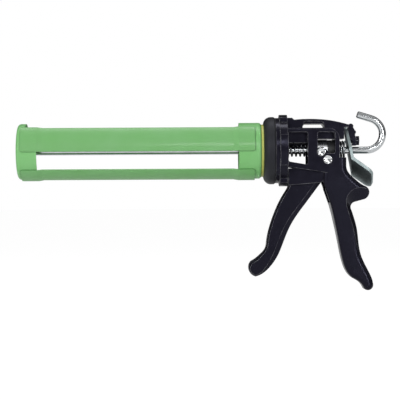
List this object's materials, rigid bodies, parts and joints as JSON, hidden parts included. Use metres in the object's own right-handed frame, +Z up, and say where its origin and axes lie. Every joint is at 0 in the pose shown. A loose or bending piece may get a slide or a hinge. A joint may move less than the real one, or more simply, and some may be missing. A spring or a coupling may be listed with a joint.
{
  "type": "caulking gun",
  "caption": "Hand-squeezed cartridge caulking gun with a turning open-sided cradle, hooked push rod, plunger, sprung trigger and thumb release lever.",
  "frame": {"origin": "on the push rod's axis at the front cap's outer face, in the middle of the nozzle slot's round end", "axes": "+X back along the rod to the hook, +Z up, away from the handle, and the rails on the -Y side"},
  "size_m": [0.3674, 0.0714, 0.1784],
  "materials": {
    "cradle_paint": "light green gloss paint",
    "black_casting": "satin black coat",
    "zinc_steel": "bright zinc plate",
    "spring_steel": "bright drawn wire",
    "lever_zinc": "dull zinc plate",
    "bush_plastic": "moulded",
    "washer_plastic": "moulded"
  },
  "bodies": {
    "frame": {"body_casting": "black_casting", "swivel_collar": "black_casting", "thrust_washer": "washer_plastic", "cradle_retainer": "zinc_steel", "retainer_screws": "zinc_steel", "collar_screws": "zinc_steel", "front_rod_bush": "bush_plastic", "rear_rod_bush": "bush_plastic", "trigger_pivot_pin": "zinc_steel", "drive_spring": "spring_steel", "release_spring": "spring_steel", "stop_screw": "zinc_steel"},
    "barrel": {"front_cap": "cradle_paint", "rear_cap": "cradle_paint", "upper_rail": "cradle_paint", "lower_rail": "cradle_paint"},
    "trigger": {"trigger": "black_casting", "drive_studs": "zinc_steel"},
    "drive": {"drive_sleeve": "zinc_steel", "front_gripping_plate": "spring_steel", "rear_gripping_plate": "spring_steel", "spring_seat_washer": "zinc_steel"},
    "plunger": {"plunger_dish": "zinc_steel", "plunger_backing_plate": "zinc_steel"},
    "rod": {"push_rod": "zinc_steel", "plunger_front_nut": "zinc_steel", "plunger_rear_nut": "zinc_steel"},
    "release": {"release_lever": "lever_zinc"}
  },
  "joints": [
    {"name": "barrel_turn", "type": "hinge", "parent": "frame", "child": "barrel", "pos_m": [0.2422, 0, 0], "axis": [1, 0, 0], "continuous": true},
    {"name": "trigger_pivot", "type": "hinge", "parent": "frame", "child": "trigger", "pos_m": [0.3076, 0, -0.0096], "axis": [0, -1, 0], "range_deg": [0, 24], "stiffness_Nm_per_rad": 0.5, "springref_deg": -34.38},
    {"name": "drive_slide", "type": "slide", "parent": "frame", "child": "drive", "axis": [-1, 0, 0], "range_m": [0, 0.0034], "deforming": ["drive_spring"]},
    {"name": "rod_slide", "type": "slide", "parent": "frame", "child": "plunger", "axis": [1, 0, 0], "range_m": [0, 0.21]},
    {"name": "rod_turn", "type": "hinge", "parent": "plunger", "child": "rod", "pos_m": [0.006, 0, 0], "axis": [1, 0, 0], "range_deg": [-90, 90]},
    {"name": "release_tilt", "type": "hinge", "parent": "frame", "child": "release", "pos_m": [0.32697, 0, 0.0212], "axis": [0, 1, 0], "range_deg": [0, 3], "stiffness_Nm_per_rad": 0.3, "springref_deg": -17.19, "deforming": ["release_spring"]}
  ],
  "couplings": [
    {"joint": "drive_slide", "follows": "trigger_pivot", "m_per_rad": 0.0078}
  ]
}
